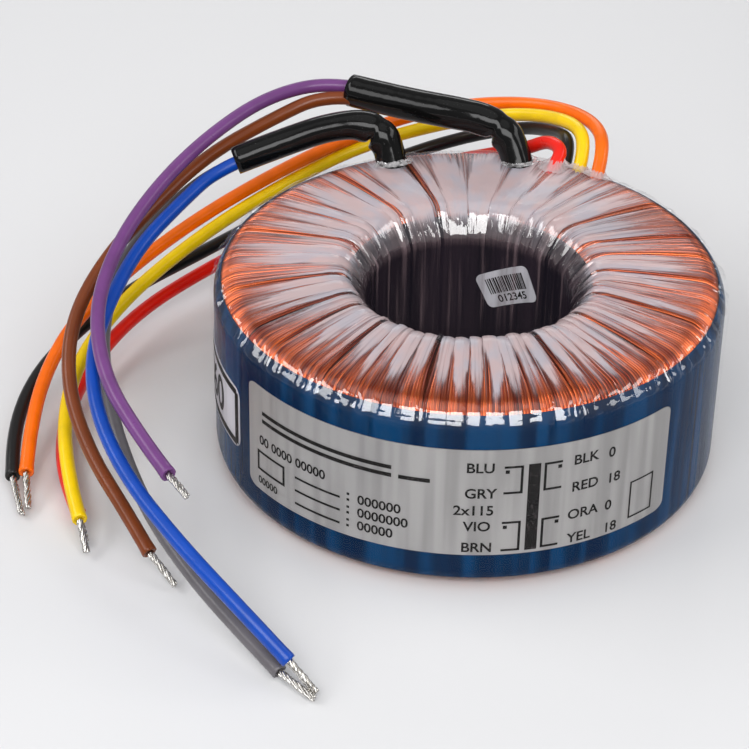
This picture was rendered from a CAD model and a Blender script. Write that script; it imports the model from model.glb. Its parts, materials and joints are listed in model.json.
"""Looks of a film-wrapped toroidal mains transformer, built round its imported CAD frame.

Metres, +Z up, origin at the centre of the hole at the bottom, -Y towards the rating label.
Azimuths are in degrees from -Y towards +X.
"""

from __future__ import annotations

import json
import logging
import math
import random
from dataclasses import dataclass, field
from enum import Enum
from functools import partial
from typing import Callable, Sequence

import bmesh
import bpy
import numpy as np
from mathutils import Matrix, Vector


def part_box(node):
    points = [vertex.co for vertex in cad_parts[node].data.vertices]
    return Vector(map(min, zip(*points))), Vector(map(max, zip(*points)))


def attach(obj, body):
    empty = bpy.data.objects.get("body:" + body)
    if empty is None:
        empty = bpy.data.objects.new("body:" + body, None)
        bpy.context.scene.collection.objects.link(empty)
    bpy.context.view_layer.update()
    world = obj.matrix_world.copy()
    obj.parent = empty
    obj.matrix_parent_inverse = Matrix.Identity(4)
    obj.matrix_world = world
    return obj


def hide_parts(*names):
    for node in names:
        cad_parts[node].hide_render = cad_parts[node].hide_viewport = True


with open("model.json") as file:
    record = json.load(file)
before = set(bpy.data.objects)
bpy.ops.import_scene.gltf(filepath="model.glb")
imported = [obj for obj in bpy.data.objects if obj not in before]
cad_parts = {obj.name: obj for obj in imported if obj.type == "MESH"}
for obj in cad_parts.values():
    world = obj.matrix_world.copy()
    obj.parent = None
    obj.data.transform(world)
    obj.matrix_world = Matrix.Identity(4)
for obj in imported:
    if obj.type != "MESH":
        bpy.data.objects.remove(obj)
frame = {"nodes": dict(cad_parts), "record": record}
log = logging.getLogger("transformer")

MM = 0.001
Point = tuple[float, float, float]
Colour = tuple[float, float, float]
Range = tuple[float, float]

# Factors that leave noise even, or draw it out into upright streaks.
EVEN: Point = (1.0, 1.0, 1.0)
UPRIGHT: Point = (1.0, 1.0, 0.05)


# ---------------------------------------------------------------- shader maths


class Value:
    """One output socket, with the operators that shader expressions use."""

    def __init__(self, shader: Shader, socket: bpy.types.NodeSocket) -> None:
        """Keeps the socket and the shader that it belongs to."""
        self.shader = shader
        self.socket = socket

    def _math(self, operation: str, *values: Value | float) -> Value:
        """Adds one Math node, with its inputs in order."""
        inputs = dict(enumerate(values))
        return self.shader.node("ShaderNodeMath", {"operation": operation}, inputs)

    def __add__(self, other: Value | float) -> Value:
        """Sum."""
        return self._math("ADD", self, other)

    def __sub__(self, other: Value | float) -> Value:
        """Difference."""
        return self._math("SUBTRACT", self, other)

    def __mul__(self, other: Value | float) -> Value:
        """Product."""
        return self._math("MULTIPLY", self, other)

    def __rsub__(self, other: float) -> Value:
        """Difference from a number."""
        return self._math("SUBTRACT", other, self)

    __radd__ = __add__
    __rmul__ = __mul__

    def size(self) -> Value:
        """Distance from zero."""
        return self._math("ABSOLUTE", self)

    def power(self, exponent: float) -> Value:
        """Power."""
        return self._math("POWER", self, exponent)

    def between(self, low: float, high: float, start: float = 0.0, end: float = 1.0) -> Value:
        """Smooth and clamped step: low gives start and high gives end."""
        inputs = {0: self, 1: low, 2: high, 3: start, 4: end}
        return self.shader.node("ShaderNodeMapRange", {"interpolation_type": "SMOOTHSTEP"}, inputs)


class Shader:
    """Node tree of one material."""

    def __init__(self, name: str) -> None:
        """Starts an empty material with an output.

        Args:
            name: the material's name.
        """
        self.material = bpy.data.materials.new(name)
        self.material.use_nodes = True
        self.tree = self.material.node_tree
        self.tree.nodes.clear()
        self.output = self.tree.nodes.new("ShaderNodeOutputMaterial")

    def node(
        self,
        kind: str,
        settings: dict | None = None,
        inputs: dict | None = None,
        output: int | str = 0,
    ) -> Value:
        """Adds a node.

        Args:
            kind: the node's type.
            settings: its own properties, set first.
            inputs: values or links for its sockets, by name or number.
            output: the socket to return.

        Returns:
            The chosen output.
        """
        made = self.tree.nodes.new(kind)
        for key, value in (settings or {}).items():
            setattr(made, key, value)
        for key, value in (inputs or {}).items():
            if isinstance(value, Value):
                self.tree.links.new(value.socket, made.inputs[key])
            elif made.inputs[key].type == "RGBA":
                made.inputs[key].default_value = (*value[:3], 1.0)
            else:
                made.inputs[key].default_value = value
        return Value(self, made.outputs[output])

    def _noise(self, where: Value, stretch: Point, scale: float, detail: float) -> Value:
        """Noise from 0 to 1.

        Args:
            where: coordinates.
            stretch: factor on each of them.
            scale: cells to a unit of the stretched coordinates.
            detail: octaves.

        Returns:
            The noise.
        """
        stretching = {0: where, 1: stretch}
        place = self.node("ShaderNodeVectorMath", {"operation": "MULTIPLY"}, stretching)
        inputs = {"Vector": place, "Scale": scale, "Detail": detail}
        return self.node("ShaderNodeTexNoise", None, inputs)

    def noise(self, scale: float, detail: float = 2.0, stretch: Point = EVEN) -> Value:
        """Noise over the object's own coordinates, in cells to a metre."""
        where = self.node("ShaderNodeTexCoord", output="Object")
        return self._noise(where, stretch, scale, detail)

    def wrap_noise(self, around: float, along: float, detail: float) -> Value:
        """Noise over a wrapped mesh, in cells round the ring and to a decimetre of its section."""
        where = self.node("ShaderNodeUVMap", {"uv_map": "wrap"})
        return self._noise(where, (around, along, 0.0), 1.0, detail)

    def attribute(self, name: str) -> Value:
        """Number stored on the points of the mesh."""
        return self.node("ShaderNodeAttribute", {"attribute_name": name}, output="Fac")

    def blend(self, share: Value, first: Value | Colour, second: Value | Colour) -> Value:
        """Mixes two colours: the share is the second one's."""
        inputs = {0: share, 6: first, 7: second}
        return self.node("ShaderNodeMix", {"data_type": "RGBA"}, inputs, 2)

    def bump(self, height: Value, distance: float, strength: float) -> Value:
        """Normal from a height of which 1 stands for the distance in metres."""
        inputs = {"Height": height, "Distance": distance, "Strength": strength}
        return self.node("ShaderNodeBump", None, inputs)

    def mix(self, share: Value, first: Value, second: Value) -> Value:
        """Mixes two shaders: the share is the second one's."""
        return self.node("ShaderNodeMixShader", None, {0: share, 1: first, 2: second})

    def end(self, surface: Value) -> bpy.types.Material:
        """Ends the tree in a shader."""
        self.tree.links.new(surface.socket, self.output.inputs["Surface"])
        return self.material

    def finish(self, **sockets: Value | float | Colour) -> bpy.types.Material:
        """Ends the tree in one Principled shader: spaces in socket names are underscores."""
        inputs = {key.replace("_", " "): value for key, value in sockets.items()}
        return self.end(self.node("ShaderNodeBsdfPrincipled", None, inputs))


# ---------------------------------------------------------------- finishes


def darker(colour: Colour, share: float) -> Colour:
    """Colour with only a share of its light."""
    return tuple(channel * share for channel in colour)


@dataclass(frozen=True)
class Insulation:
    """Glossy flexible insulation of a lead."""

    name: str
    colour: Colour
    roughness: float = 0.24
    mottle: float = 0.12

    def material(self) -> bpy.types.Material:
        """Slightly mottled gloss with fine dust."""
        shader = Shader(self.name + "_insulation")
        cloud = shader.noise(scale=180.0, detail=3.0)
        dust = shader.noise(scale=2600.0)
        shade = cloud.between(low=0.35, high=0.7)
        return shader.finish(
            Base_Color=shader.blend(shade, self.colour, darker(self.colour, 0.86)),
            Roughness=cloud * self.mottle + self.roughness,
            Normal=shader.bump(dust, distance=0.03 * MM, strength=0.25),
            Specular_IOR_Level=0.4,
        )


@dataclass(frozen=True)
class Metal:
    """Bare or enamelled metal."""

    name: str
    colour: Colour
    shade: Colour
    roughness: float
    metallic: float = 1.0
    mottle: float = 0.15

    def material(self) -> bpy.types.Material:
        """Metal with a slow change of tone."""
        shader = Shader(self.name)
        tone = shader.noise(scale=900.0, detail=3.0)
        return shader.finish(
            Base_Color=shader.blend(tone.between(low=0.35, high=0.65), self.colour, self.shade),
            Metallic=self.metallic,
            Roughness=tone * self.mottle + self.roughness,
            Normal=shader.bump(tone, distance=0.02 * MM, strength=0.4),
        )


@dataclass(frozen=True)
class Enamel:
    """Enamelled copper of the turns."""

    name: str
    colour: Colour
    shade: Colour
    metallic: float = 0.9
    roughness: float = 0.24
    mottle: float = 0.1
    coat: float = 0.15
    coat_roughness: float = 0.1

    def material(self) -> bpy.types.Material:
        """Copper with a tone of its own for each turn, from the wrap coordinates."""
        shader = Shader(self.name)
        tone = shader.wrap_noise(around=1300.0, along=3.0, detail=1.0)
        group = shader.wrap_noise(around=90.0, along=2.5, detail=2.0)
        dark = (tone * 0.6 + group * 0.5).between(low=0.4, high=0.68)
        return shader.finish(
            Base_Color=shader.blend(dark, self.colour, self.shade),
            Metallic=self.metallic,
            Roughness=tone * self.mottle + self.roughness,
            Coat_Weight=self.coat,
            Coat_Roughness=self.coat_roughness,
        )


@dataclass(frozen=True)
class ClearFilm:
    """Clear film: glossy all over, and milky where its layers lie loose.

    Each pleat carries a leaf of milk that narrows from the hole towards the rim of the ring.
    """

    name: str
    milk: Colour
    tint: Colour
    dusk: Colour
    most: float = 0.73
    half_leaf: float = 0.58
    narrowing: float = 0.34
    feathering: float = 0.7
    tip_at: float = 0.45
    tip_feathering: float = 0.9
    fold_milk: float = 0.4
    roughness: float = 0.25
    mottle: float = 0.2
    gloss_roughness: float = 0.05
    crumpling: float = 0.45 * MM
    crumpling_shown: float = 0.55
    taut_grain: float = 0.9
    grazing_power: float = 5.0
    grazing_share: float = 0.05

    def material(self) -> bpy.types.Material:
        """Milk and clear film under a gloss that follows the crumples."""
        shader = Shader(self.name)
        hole, shine = shader.attribute("hole"), shader.attribute("shine")
        grain = shader.wrap_noise(around=420.0, along=4.0, detail=3.0)
        crumple = shader.wrap_noise(around=75.0, along=18.0, detail=2.0)
        height = crumple + grain * shine * self.taut_grain
        normal = shader.bump(height, self.crumpling, self.crumpling_shown)
        milky = {
            "Base Color": self._colour(shader, hole),
            "Roughness": grain * self.mottle + self.roughness,
            "Normal": normal,
        }
        milk = shader.node("ShaderNodeBsdfPrincipled", None, milky)
        clear = shader.node("ShaderNodeBsdfTransparent")
        cover = self._cover(shader, grain, hole).between(0.0, 1.0, 0.0, self.most)
        glossy = {"Color": (1.0, 1.0, 1.0), "Roughness": self.gloss_roughness, "Normal": normal}
        gloss = shader.node("ShaderNodeBsdfGlossy", None, glossy)
        grazing = shader.node("ShaderNodeLayerWeight", None, {"Blend": 0.5}, "Facing")
        mirrored = grazing.power(self.grazing_power) * self.grazing_share + shine
        return shader.end(shader.mix(mirrored, shader.mix(cover, clear, milk), gloss))

    def _colour(self, shader: Shader, hole: Value) -> Value:
        """Colour of the milk, dusky in the hole.

        Args:
            shader: the film's shader.
            hole: how deep in the hole a point lies.

        Returns:
            The colour.
        """
        shade = shader.wrap_noise(around=45.0, along=12.0, detail=2.0)
        colour = shader.blend(shade.between(low=0.4, high=0.65), self.milk, self.tint)
        return shader.blend(hole, colour, self.dusk)

    def _cover(self, shader: Shader, grain: Value, hole: Value) -> Value:
        """How much milk covers the film: leaves, even haze, fine lines and folds in the hole.

        Args:
            shader: the film's shader.
            grain: fine streaks along the section.
            hole: how deep in the hole a point lies.

        Returns:
            The cover.
        """
        across, reach = shader.attribute("across"), shader.attribute("reach")
        cloud, veil = shader.attribute("cloud"), shader.attribute("veil")
        haze, lines = shader.attribute("haze"), shader.attribute("lines")
        feather = shader.wrap_noise(around=150.0, along=9.0, detail=3.0) - 0.5
        off_middle = (across + feather * self.feathering - 0.5).size()
        leaf = (self.half_leaf - reach * self.narrowing - off_middle).between(low=-0.08, high=0.2)
        tip = cloud * 0.5 + self.tip_at - reach + feather * self.tip_feathering
        leaves = leaf * tip.between(low=-0.3, high=0.4) * cloud * veil * (grain * 2.0 + 0.1)
        streak = grain.between(low=0.56, high=0.72)
        fold = shader.wrap_noise(around=85.0, along=2.5, detail=4.0).between(low=0.52, high=0.74)
        covered = leaves + haze * (grain * 2.4 - 0.2)
        return covered + lines * streak * cloud + hole * fold * self.fold_milk


@dataclass(frozen=True)
class Crumpled:
    """Crumpled clear film that glints like foil."""

    name: str
    colour: Colour

    def material(self) -> bpy.types.Material:
        """Half clear film with bright creases."""
        shader = Shader(self.name)
        cloud = shader.noise(scale=900.0)
        return shader.finish(
            Base_Color=self.colour,
            Metallic=cloud * 0.6,
            Roughness=cloud * 0.1 + 0.05,
            Alpha=cloud.between(low=0.35, high=0.6, start=0.15, end=0.7),
            Specular_IOR_Level=1.0,
        )


@dataclass(frozen=True)
class CloudyFilm:
    """Loose film: between the windings, and in cuffs round the leads."""

    name: str
    colour: Colour

    def material(self) -> bpy.types.Material:
        """Slightly cloudy film."""
        shader = Shader(self.name)
        cloud = shader.noise(scale=200.0)
        rough, alpha = cloud * 0.2 + 0.2, cloud * 0.4 + 0.3
        return shader.finish(Base_Color=self.colour, Roughness=rough, Alpha=alpha)


@dataclass(frozen=True)
class PolyesterTape:
    """Dark polyester tape."""

    name: str
    colour: Colour
    shade: Colour

    def material(self) -> bpy.types.Material:
        """Glossy tape with upright overlaps."""
        shader = Shader(self.name)
        strip = shader.noise(scale=340.0, stretch=UPRIGHT)
        return shader.finish(
            Base_Color=shader.blend(strip.between(low=0.36, high=0.66), self.colour, self.shade),
            Roughness=0.22,
            Normal=shader.bump(strip, distance=0.25 * MM, strength=0.4),
            Specular_IOR_Level=0.05,
        )


@dataclass(frozen=True)
class LabelStock:
    """Printed label stock."""

    name: str
    colour: Colour
    metallic: float = 0.0
    roughness: float = 0.4
    mottle: float = 0.2

    def material(self) -> bpy.types.Material:
        """Stock with faint vertical ripples from the film above."""
        shader = Shader(self.name)
        ripple = shader.noise(scale=300.0, stretch=UPRIGHT)
        shade = ripple.between(low=0.42, high=0.66)
        return shader.finish(
            Base_Color=shader.blend(shade, self.colour, darker(self.colour, 0.74)),
            Metallic=self.metallic,
            Roughness=ripple * self.mottle + self.roughness,
            Normal=shader.bump(ripple, distance=0.15 * MM, strength=0.5),
        )


@dataclass(frozen=True)
class Ink:
    """Print on a label."""

    name: str
    colour: Colour
    worn: Colour = (0.08, 0.07, 0.07)

    def material(self) -> bpy.types.Material:
        """Slightly worn dark ink."""
        shader = Shader(self.name)
        wear = shader.noise(scale=1500.0)
        return shader.finish(
            Base_Color=shader.blend(wear.between(low=0.55, high=0.8), self.colour, self.worn),
            Roughness=wear * 0.2 + 0.4,
            Specular_IOR_Level=0.08,
        )


@dataclass(frozen=True)
class ShrinkRubber:
    """Black heat-shrink sleeve."""

    name: str
    colour: Colour
    dust: Colour = (0.10, 0.10, 0.10)

    def material(self) -> bpy.types.Material:
        """Gloss black with soft dents and dust."""
        shader = Shader(self.name)
        dent = shader.noise(scale=220.0)
        dust = shader.noise(scale=4200.0, detail=1.0)
        return shader.finish(
            Base_Color=shader.blend(dust.between(low=0.72, high=0.8), self.colour, self.dust),
            Roughness=dent * 0.1 + 0.07,
            Normal=shader.bump(dent, distance=0.5 * MM, strength=0.25),
            Specular_IOR_Level=0.3,
        )


# ---------------------------------------------------------------- meshes


def ramp(values: np.ndarray | float, low: float, high: float) -> np.ndarray | float:
    """Share of the way from low to high, clamped."""
    return np.clip((values - low) / (high - low), 0, 1)


def eased(share: np.ndarray | float) -> np.ndarray | float:
    """Share of the way that starts and stops gently."""
    return share * share * (3 - 2 * share)


def hump(values: np.ndarray | float, middle: float, width: float) -> np.ndarray | float:
    """Smooth hump, 1 high, about a middle."""
    return np.exp(-(((values - middle) / width) ** 2))


def link(name: str, data: bpy.types.ID) -> bpy.types.Object:
    """Puts an object into the scene.

    Args:
        name: the object's name.
        data: its mesh, curve, camera or light.

    Returns:
        The object.
    """
    made = bpy.data.objects.new(name, data)
    bpy.context.scene.collection.objects.link(made)
    return made


def plain_mesh(name: str, points: Sequence, faces: Sequence) -> bpy.types.Mesh:
    """Mesh of points and faces.

    Args:
        name: the mesh's name.
        points: its points.
        faces: the point numbers of each face.

    Returns:
        The mesh.
    """
    mesh = bpy.data.meshes.new(name)
    mesh.from_pydata(points, [], faces)
    return mesh


def quads(rows: int, columns: int, closed_rows: bool, closed_columns: bool) -> np.ndarray:
    """Faces over a grid whose points are numbered row by row.

    Args:
        rows: rows of points.
        columns: points to a row.
        closed_rows: the last row joins the first.
        closed_columns: the last column joins the first.

    Returns:
        Four point numbers to a face.
    """
    row = np.arange(rows if closed_rows else rows - 1)
    column = np.arange(columns if closed_columns else columns - 1)
    low, left = np.meshgrid(row, column, indexing="ij")
    high, right = (low + 1) % rows, (left + 1) % columns
    corners = ((low, left), (low, right), (high, right), (high, left))
    return np.stack([up * columns + along for up, along in corners], -1).reshape(-1, 4)


def grid_mesh(
    name: str, points: np.ndarray, closed_rows: bool, closed_columns: bool
) -> bpy.types.Mesh:
    """Quad mesh over a grid of points.

    Args:
        name: the mesh's name.
        points: rows x columns x 3 array.
        closed_rows: the last row joins the first.
        closed_columns: the last column joins the first.

    Returns:
        The mesh.
    """
    faces = quads(*points.shape[:2], closed_rows, closed_columns)
    mesh = plain_mesh(name, points.reshape(-1, 3).tolist(), faces.tolist())
    mesh.validate()
    return mesh


def add_wrap(mesh: bpy.types.Mesh, azimuth: np.ndarray, run: np.ndarray, sides: int = 1) -> None:
    """Stores wrap coordinates as a UV map: turns round the ring and decimetres of its section.

    Args:
        mesh: a mesh of columns, each along the section.
        azimuth: azimuth of each column.
        run: distance along the section of each point of a column.
        sides: points of the mesh round each of them.
    """
    around = np.repeat(azimuth / 360.0, len(run) * sides)
    along = np.tile(np.repeat(run / (100 * MM), sides), len(azimuth))
    corners = np.zeros(len(mesh.loops), dtype=np.int32)
    mesh.loops.foreach_get("vertex_index", corners)
    coordinates = np.stack([around, along], -1)[corners]
    layer = mesh.uv_layers.new(name="wrap")
    layer.data.foreach_set("uv", coordinates.astype(np.float32).ravel())


def add_piece(
    name: str,
    data: bpy.types.Mesh | bpy.types.Curve,
    material: bpy.types.Material,
    replaced: Sequence[str] = (),
    smooth: bool = True,
) -> bpy.types.Object:
    """Places one piece of the transformer.

    Args:
        name: the piece's name.
        data: its mesh or curve.
        material: its finish.
        replaced: CAD nodes that it stands for.
        smooth: smooth shading of a mesh.

    Returns:
        The object, riding on the root.
    """
    data.materials.append(material)
    piece = link(name, data)
    if smooth and isinstance(data, bpy.types.Mesh):
        data.shade_smooth()
    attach(piece, "root")
    if replaced:
        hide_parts(*replaced)
    return piece


def spline_curve(name: str, points: Sequence[Vector], steps: int) -> bpy.types.Curve:
    """Curve of one open NURBS spline.

    Args:
        name: the curve's name.
        points: control points, in metres.
        steps: points to each run.

    Returns:
        The curve.
    """
    curve = bpy.data.curves.new(name, "CURVE")
    curve.dimensions = "3D"
    curve.resolution_u = steps
    spline = curve.splines.new("NURBS")
    spline.points.add(len(points) - 1)
    for place, point in zip(spline.points, points):
        place.co = (*point, 1.0)
    spline.order_u = 3
    spline.use_endpoint_u = True
    return curve


def curve_points(points: Sequence[Vector], steps: int) -> list[Vector]:
    """Points along the smooth line that a list of control points gives.

    Args:
        points: control points.
        steps: points to each run.

    Returns:
        The line's points.
    """
    line = spline_curve("line", points, steps)
    holder = bpy.data.objects.new("line", line)
    mesh = bpy.data.meshes.new_from_object(holder)
    found = [vertex.co.copy() for vertex in mesh.vertices]
    bpy.data.objects.remove(holder)
    bpy.data.curves.remove(line)
    bpy.data.meshes.remove(mesh)
    return found


def crosswise(ahead: Vector) -> tuple[Vector, Vector]:
    """Two directions at right angles to one direction and to each other."""
    side = ahead.orthogonal().normalized()
    return side, ahead.cross(side)


def aside(centre: Vector, side: Vector, up: Vector, angle: float, reach: float) -> Vector:
    """Point at a distance from a centre, at an angle from one side towards the other."""
    return centre + side * (math.cos(angle) * reach) + up * (math.sin(angle) * reach)


def round_angles(sides: int) -> list[float]:
    """Equally spaced angles round a circle."""
    return [2 * math.pi * corner / sides for corner in range(sides)]


# The inner wall of an open tube reaches back to this point of its line, counted from the end.
MOUTH_DEPTH = -5


def tube_mesh(
    name: str,
    line: Sequence[Vector],
    radius: Callable[[float, float], float],
    sides: int,
    start_side: Vector | None = None,
    wall: float = 0.0,
) -> bpy.types.Mesh:
    """Tube along a line, with a radius that may change along and round it, and flat ends.

    Args:
        name: the mesh's name.
        line: points of its centre line.
        radius: radius at a share of the length and an angle.
        sides: points round it.
        start_side: direction of angle 0 at its start.
        wall: thickness of the wall at its far end, which is closed when it is 0.

    Returns:
        The mesh.
    """
    rings = []
    side = start_side or crosswise(line[1] - line[0])[0]
    for number, centre in enumerate(line):
        ahead = line[min(number + 1, len(line) - 1)] - line[max(number - 1, 0)]
        ahead.normalize()
        side = (side - ahead * side.dot(ahead)).normalized()
        up = ahead.cross(side)
        share = number / (len(line) - 1)
        rings.append(
            [aside(centre, side, up, angle, radius(share, angle)) for angle in round_angles(sides)]
        )
    if wall:
        centre = line[-1]
        rings.append([point + (centre - point).normalized() * wall for point in rings[-1]])
        back = line[MOUTH_DEPTH] - line[-1]
        rings.append([point + back for point in rings[-1]])
    points = np.array([[list(point) for point in ring] for ring in rings])
    mesh = grid_mesh(name, points, False, True)
    edit = bmesh.new()
    edit.from_mesh(mesh)
    edit.verts.ensure_lookup_table()
    edit.faces.new([edit.verts[corner] for corner in reversed(range(sides))])
    last = (len(rings) - 1) * sides
    edit.faces.new([edit.verts[last + corner] for corner in range(sides)])
    bmesh.ops.recalc_face_normals(edit, faces=edit.faces)
    edit.to_mesh(mesh)
    edit.free()
    return mesh


# ---------------------------------------------------------------- the ring


def spin(
    radius: np.ndarray | float, height: np.ndarray | float, azimuth: np.ndarray
) -> np.ndarray:
    """Points at a radius, a height and an azimuth.

    Args:
        radius: radii.
        height: heights.
        azimuth: azimuths in degrees.

    Returns:
        The points.
    """
    angle = np.radians(azimuth)
    places = radius * np.sin(angle), -radius * np.cos(angle), height
    return np.stack(np.broadcast_arrays(*places), -1)


def facing(azimuth: np.ndarray | float) -> tuple[np.ndarray | float, np.ndarray | float]:
    """How far behind and how far to a side an azimuth lies, each from 0 to 1."""
    turn = np.radians(azimuth)
    return (1 - np.cos(turn)) / 2, np.abs(np.sin(turn))


# Radii that part the hole's side of the section from its middle, and its middle from the rim.
HOLE_SIDE = 30 * MM
RIM_SIDE = 40 * MM


@dataclass(frozen=True)
class Outline:
    """Points round a section, from the foot of the hole's wall up over the top and down outside.

    Each array has one number for each point: its radius and height, how far its normal points
    outward and upward, and its distance along the outline.
    """

    radius: np.ndarray
    height: np.ndarray
    outward: np.ndarray
    rising: np.ndarray
    run: np.ndarray

    def at_hole(self) -> np.ndarray:
        """Whether each point is near the hole."""
        return self.radius < HOLE_SIDE

    def at_rim(self) -> np.ndarray:
        """Whether each point is near the rim."""
        return self.radius > RIM_SIDE

    def under(self, depth: np.ndarray, azimuth: np.ndarray) -> np.ndarray:
        """Points at a depth under the outline, for each column and each point of the outline."""
        radius = self.radius - self.outward * depth
        return spin(radius, self.height - self.rising * depth, azimuth)


class Stretch(Enum):
    """How a stretch of an outline runs."""

    STRAIGHT = "straight"
    ROUNDED = "rounded"


@dataclass(frozen=True)
class RingSection:
    """Half section of the ring: a rectangle with rounded corners, in metres."""

    bore: float
    wall: float
    foot: float
    top: float
    hole_edge: float = 7.5 * MM
    top_edge: float = 5.0 * MM
    foot_edge: float = 4.0 * MM

    def sunk(self, wall: float, end: float, bore: float) -> RingSection:
        """Section at a depth under this one.

        Args:
            wall: depth under the outer wall.
            end: depth under the two ends.
            bore: depth behind the hole's wall.

        Returns:
            The smaller section.
        """
        return RingSection(
            self.bore + bore,
            self.wall - wall,
            self.foot + end,
            self.top - end,
            self.hole_edge - (bore + end) / 2,
            self.top_edge - (wall + end) / 2,
            self.foot_edge - (wall + end) / 2,
        )

    def _stretches(self) -> list[tuple]:
        """Stretches of the outline, each with the slant of its normal where it starts, in degrees.

        Returns:
            For a straight one its start and end, for a rounded one its centre and radius.
        """
        bore, wall, low, high = self.bore, self.wall, self.foot, self.top
        hole, top, foot = self.hole_edge, self.top_edge, self.foot_edge
        return [
            (Stretch.STRAIGHT, (bore, low + hole), (bore, high - hole), 180),
            (Stretch.ROUNDED, (bore + hole, high - hole), hole, 180),
            (Stretch.STRAIGHT, (bore + hole, high), (wall - top, high), 90),
            (Stretch.ROUNDED, (wall - top, high - top), top, 90),
            (Stretch.STRAIGHT, (wall, high - top), (wall, low + foot), 0),
            (Stretch.ROUNDED, (wall - foot, low + foot), foot, 0),
            (Stretch.STRAIGHT, (wall - foot, low), (bore + hole, low), -90),
            (Stretch.ROUNDED, (bore + hole, low + hole), hole, -90),
        ]

    def outline(self, steps: Sequence[int]) -> Outline:
        """Points round the section.

        Args:
            steps: points on the bore wall, hole edge, top, top edge, wall, foot edge, foot and
                lower hole edge.

        Returns:
            The outline.
        """
        rows = []
        for (kind, first, second, slant), count in zip(self._stretches(), steps):
            for step in range(count):
                part = step / count
                if kind is Stretch.STRAIGHT:
                    turn = math.radians(slant)
                    place = [start + (end - start) * part for start, end in zip(first, second)]
                else:
                    turn = math.radians(slant - 90 * part)
                    place = [
                        first[0] + second * math.cos(turn),
                        first[1] + second * math.sin(turn),
                    ]
                rows.append([*place, math.cos(turn), math.sin(turn)])
        radius, height, outward, rising = np.array(rows).T
        runs = np.hypot(np.diff(radius), np.diff(height))
        run = np.concatenate([[0.0], np.cumsum(runs)])
        return Outline(radius, height, outward, rising, run)


# Lean of a radial line: degrees at most, waves round the ring and phase of each part.
LEANS = ((8.0, 1, 0.0), (1.2, 3, 0.8), (0.8, 7, 0.0), (0.3, 15, 0.0))


def swirl(azimuth: np.ndarray, outline: Outline, section: RingSection) -> np.ndarray:
    """Degrees by which a radial line turns back as it runs from the hole over the top to the wall.

    Args:
        azimuth: azimuths in degrees, one for each line.
        outline: the section's outline.
        section: the section.

    Returns:
        One row for each line, one column for each point of the outline.
    """
    angle = np.radians(azimuth)
    lean = sum(most * np.sin(angle * waves + phase) for most, waves, phase in LEANS)
    return -np.outer(lean, ramp(outline.radius, section.bore, section.wall))


# Azimuths at the hole where the turns stand apart and the film lies tight on them.
PARTINGS = (
    -166.0, -147.0, -112.0, -84.0, -68.0, -59.0, -41.0, -14.0,
    27.0, 53.0, 72.0, 91.0, 104.0, 114.0, 130.0,
)


def nearest_parting(azimuth: float) -> float:
    """Degrees from the nearest parting, positive past it."""
    return min(((azimuth - parting + 180) % 360 - 180 for parting in PARTINGS), key=abs)


@dataclass
class Winding:
    """Visible layer of enamelled turns, each turn a closed loop of round wire.

    Depths are in radii of the wire, and partings in degrees.
    """

    section: RingSection
    turns: int = 430
    wire_radius: float = 0.33 * MM
    sides: int = 6
    steps: tuple[int, ...] = (3, 7, 7, 6, 3, 4, 4, 3)
    jitter: float = 0.16
    parting: float = 0.6
    crowding: float = 5.0
    parting_left: float = 0.1
    parting_fade: float = 12 * MM
    crowded_within: float = 26 * MM
    free_beyond: float = 40 * MM
    dip: float = 1.4
    looseness: float = 0.25
    sag: float = 0.25
    seed: int = 7

    def mesh(self) -> bpy.types.Mesh:
        """All turns in one mesh: crowded turns dip under their neighbours towards the hole."""
        dice = random.Random(self.seed)
        inner = self.section.sunk(self.wire_radius, self.wire_radius, self.wire_radius)
        outline = inner.outline(self.steps)
        pitch, turns = 360.0 / self.turns, range(self.turns)
        azimuth = np.array([pitch * (turn + self.jitter * dice.uniform(-1, 1)) for turn in turns])
        off = np.array([nearest_parting(place) for place in azimuth])
        apart = np.copysign(self.parting * np.exp(-np.abs(off) / self.crowding), off)
        closing = np.clip((inner.wall - outline.radius) / self.parting_fade, self.parting_left, 1)
        angle = azimuth[:, None] + np.outer(apart, closing) + swirl(azimuth, outline, inner)
        points = self._wires(outline, self._depth(outline, dice), angle)
        turned_over = quads(len(outline.run), self.sides, True, True)[:, [0, 3, 2, 1]]
        starts = np.arange(self.turns)[:, None, None] * len(outline.run) * self.sides
        faces = (starts + turned_over).reshape(-1, 4)
        mesh = plain_mesh("turns", points.reshape(-1, 3).tolist(), faces.tolist())
        add_wrap(mesh, azimuth, outline.run, self.sides)
        return mesh

    def _depth(self, outline: Outline, dice: random.Random) -> np.ndarray:
        """How deep each turn lies under the section: every second one dips where they crowd.

        Args:
            outline: the outline of the wires' centres.
            dice: the winding's dice.

        Returns:
            One row for each turn, one value for each point of the outline.
        """
        turns = range(self.turns)
        dip = np.array([turn % 2 + self.looseness * dice.random() for turn in turns])
        sag = np.array([self.sag * self.wire_radius * dice.random() for _ in turns])
        crowd = 1 - ramp(outline.radius, self.crowded_within, self.free_beyond)
        return np.outer(dip * self.dip * self.wire_radius, eased(crowd)) + sag[:, None]

    def _wires(self, outline: Outline, depth: np.ndarray, angle: np.ndarray) -> np.ndarray:
        """Points round each turn's wire.

        Args:
            outline: the outline of the wires' centres.
            depth: depth of each turn at each point of the outline.
            angle: azimuth of each turn at each point of the outline.

        Returns:
            Turns x outline x sides x 3 array.
        """
        centre = outline.under(depth, angle)
        outward = spin(outline.outward, outline.rising, angle)
        across = spin(1.0, 0.0, angle + 90)
        corner = np.array(round_angles(self.sides))[:, None]
        ring = outward[:, :, None] * np.cos(corner) + across[:, :, None] * np.sin(corner)
        return centre[:, :, None] + ring * self.wire_radius


@dataclass(frozen=True)
class Pleat:
    """One pleat of the film, from its overlapping edge to the next."""

    start: float
    stop: float
    lift: float
    crown: float
    slack: float
    cloud: float
    tilt: float


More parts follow.
